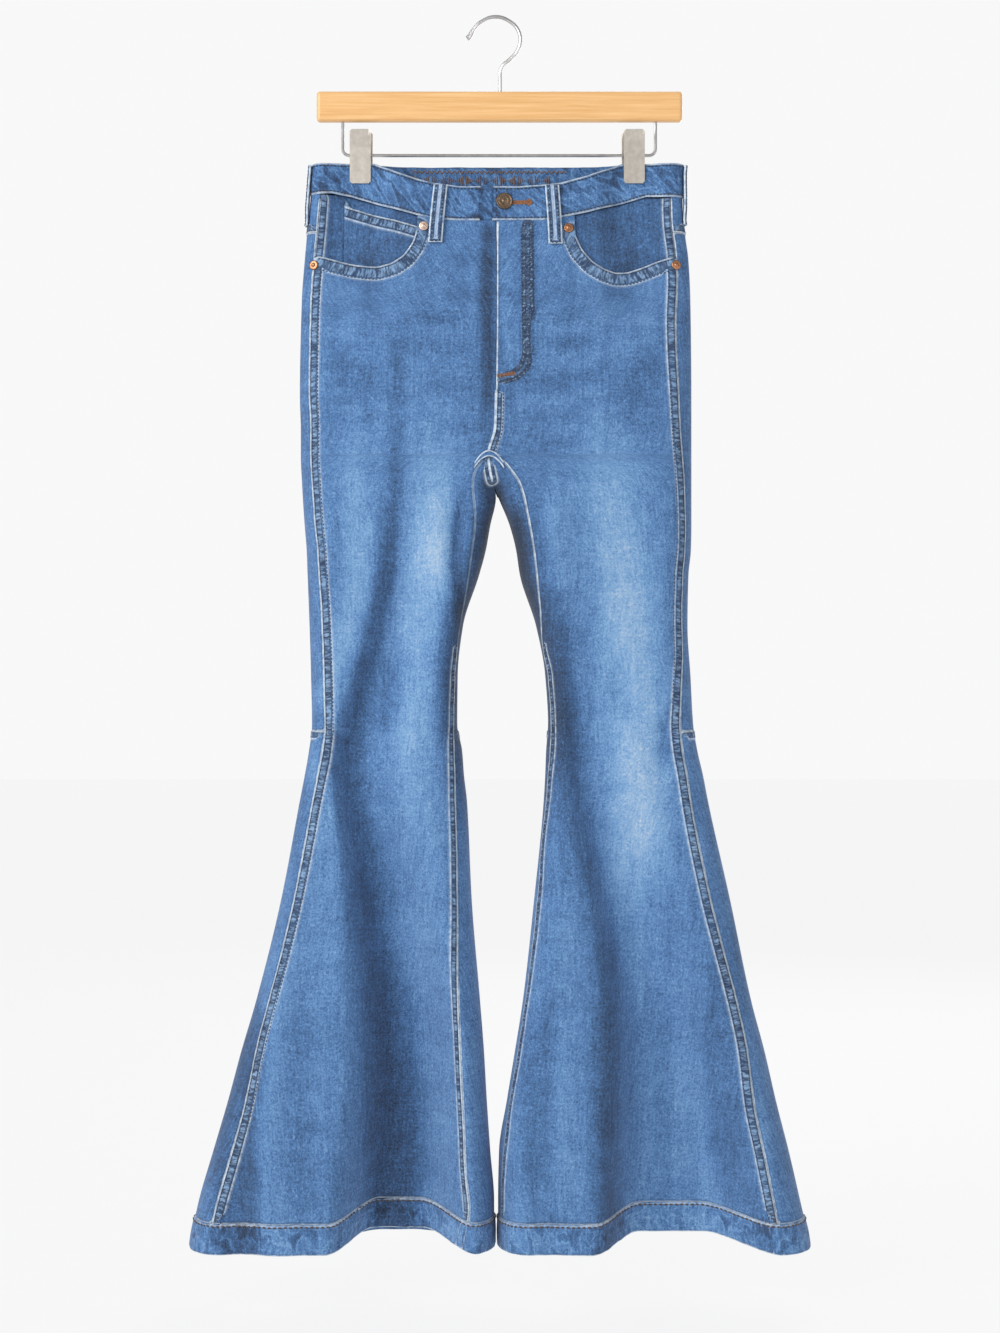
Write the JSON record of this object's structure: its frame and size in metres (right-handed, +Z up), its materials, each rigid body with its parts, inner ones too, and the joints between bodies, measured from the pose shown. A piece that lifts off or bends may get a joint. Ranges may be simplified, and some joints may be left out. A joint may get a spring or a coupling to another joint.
{
  "type": "flared jeans on a wooden clip hanger",
  "caption": "Washed blue denim jeans with wide flared legs, hung flat by the waistband from a wooden bar hanger with wire hook, rod and metal clips",
  "frame": {"origin": "inner top of the hanger's hook, where the rail carries it", "axes": "+Z up, front of the jeans faces -Y, wearer's left at +X"},
  "size_m": [0.638, 0.1237, 1.2657],
  "materials": {
    "back_lower_left": "washed cotton denim",
    "back_lower_right": "washed cotton denim",
    "back_pocket_left": "washed cotton denim",
    "back_pocket_right": "washed cotton denim",
    "back_upper_left": "washed cotton denim",
    "back_upper_right": "washed cotton denim",
    "back_yoke_left": "washed cotton denim",
    "back_yoke_right": "washed cotton denim",
    "belt_loop_back": "washed cotton denim",
    "belt_loop_front_left": "washed cotton denim",
    "belt_loop_front_right": "washed cotton denim",
    "belt_loop_side_left": "washed cotton denim",
    "belt_loop_side_right": "washed cotton denim",
    "clip_back_left": "satin champagne nickel",
    "clip_back_right": "satin champagne nickel",
    "clip_front_left": "satin champagne nickel",
    "clip_front_right": "satin champagne nickel",
    "clip_spring_left": "satin nickel",
    "clip_spring_right": "satin nickel",
    "coin_pocket": "washed cotton denim",
    "front_left": "washed cotton denim",
    "front_right": "washed cotton denim",
    "hanger_bar": "clear satin lacquer",
    "hanger_hook": "satin nickel",
    "hanger_rod": "satin nickel",
    "hem_left": "washed cotton denim",
    "hem_right": "washed cotton denim",
    "pocket_facing_left": "washed cotton denim",
    "pocket_facing_right": "washed cotton denim",
    "rivet_left_inner": "worn copper",
    "rivet_left_outer": "worn copper",
    "rivet_right_inner": "worn copper",
    "rivet_right_outer": "worn copper",
    "waist_button": "antique bronze",
    "waistband": "washed cotton denim"
  },
  "bodies": {
    "root": {"back_lower_left": "back_lower_left", "back_lower_right": "back_lower_right", "back_pocket_left": "back_pocket_left", "back_pocket_right": "back_pocket_right", "back_upper_left": "back_upper_left", "back_upper_right": "back_upper_right", "back_yoke_left": "back_yoke_left", "back_yoke_right": "back_yoke_right", "belt_loop_back": "belt_loop_back", "belt_loop_front_left": "belt_loop_front_left", "belt_loop_front_right": "belt_loop_front_right", "belt_loop_side_left": "belt_loop_side_left", "belt_loop_side_right": "belt_loop_side_right", "clip_back_left": "clip_back_left", "clip_back_right": "clip_back_right", "clip_front_left": "clip_front_left", "clip_front_right": "clip_front_right", "clip_spring_left": "clip_spring_left", "clip_spring_right": "clip_spring_right", "coin_pocket": "coin_pocket", "front_left": "front_left", "front_right": "front_right", "hanger_bar": "hanger_bar", "hanger_hook": "hanger_hook", "hanger_rod": "hanger_rod", "hem_left": "hem_left", "hem_right": "hem_right", "pocket_facing_left": "pocket_facing_left", "pocket_facing_right": "pocket_facing_right", "rivet_left_inner": "rivet_left_inner", "rivet_left_outer": "rivet_left_outer", "rivet_right_inner": "rivet_right_inner", "rivet_right_outer": "rivet_right_outer", "waist_button": "waist_button", "waistband": "waistband"}
  },
  "joints": []
}
